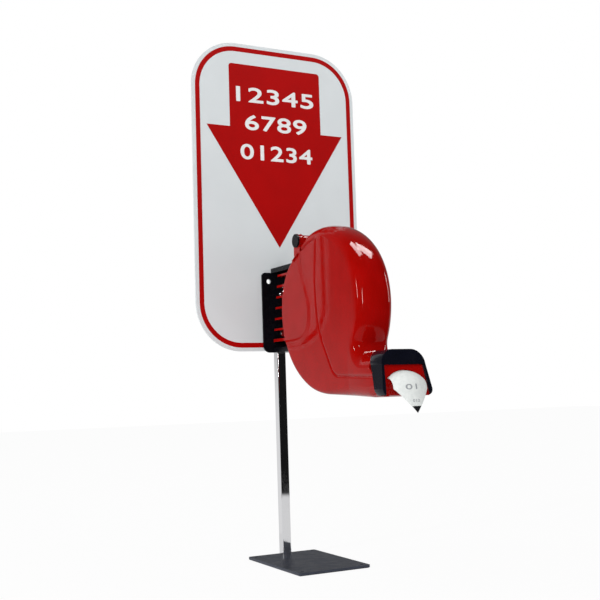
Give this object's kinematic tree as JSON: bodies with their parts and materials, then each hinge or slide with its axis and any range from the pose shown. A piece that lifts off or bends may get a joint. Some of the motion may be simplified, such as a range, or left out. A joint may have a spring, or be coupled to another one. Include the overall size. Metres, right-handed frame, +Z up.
{
  "type": "queue ticket dispenser on a counter stand",
  "caption": "Snail-shaped red ticket dispenser with hinged cover and arched mouth, held by a rack bracket to an upright arrow sign on a chrome pole with a flat foot.",
  "frame": {"origin": "centre of the underside of the foot pad, on the counter", "axes": "+Z up, -Y towards the person who takes a ticket, +X to that person's right"},
  "size_m": [0.254, 0.3514, 0.7146],
  "materials": {
    "rubber": "matte sheet rubber",
    "black_powder_coat": "fine satin powder coat",
    "zinc_steel": "bright zinc plate",
    "chrome": "polished chrome plate",
    "black_plastic": "moulded, satin gloss",
    "red_plastic": "moulded, high gloss",
    "white_panel": "rigid sheet, soft gloss",
    "red_print": "screen-printed film",
    "foam_tape": "double-sided foam tape",
    "core_board": "wound paper board",
    "paper": "uncoated paper"
  },
  "bodies": {
    "stand": {"base_pad": "rubber", "base_plate": "black_powder_coat", "foot_screw": "zinc_steel", "foot_plug": "zinc_steel", "pole": "chrome", "pole_cap": "black_plastic", "sign_tape": "foam_tape", "sign_panel": "white_panel", "sign_border": "red_print", "sign_arrow": "red_print", "wall_bracket": "black_plastic", "bracket_screws": "chrome", "bracket_washers": "zinc_steel", "bracket_nuts": "zinc_steel", "rack_pin": "zinc_steel", "mounting_rack": "red_plastic", "rear_shell": "red_plastic", "hinge_pin": "zinc_steel", "hinge_caps": "black_plastic", "lower_jaw": "red_plastic", "roll_spindle": "black_plastic", "spindle_screw": "zinc_steel"},
    "cover": {"front_cover": "red_plastic", "mouth_bezel": "black_plastic", "upper_jaw": "red_plastic"},
    "roll": {"roll_core": "core_board", "ticket_roll": "paper"},
    "ticket": {"ticket_web": "paper", "hanging_ticket": "paper"}
  },
  "joints": [
    {"name": "cover_open", "type": "hinge", "parent": "stand", "child": "cover", "pos_m": [0, -0.04714, 0.421], "axis": [-1, 0, 0], "range_deg": [0, 95]},
    {"name": "roll_spin", "type": "hinge", "parent": "stand", "child": "roll", "pos_m": [0, -0.07414, 0.328], "axis": [-1, 0, 0], "range_deg": [0, 42.5]},
    {"name": "ticket_pull", "type": "slide", "parent": "stand", "child": "ticket", "axis": [0, -0.9927, -0.1205], "range_m": [0, 0.045]}
  ],
  "couplings": [
    {"joint": "ticket_pull", "follows": "roll_spin", "m_per_rad": 0.06055}
  ]
}
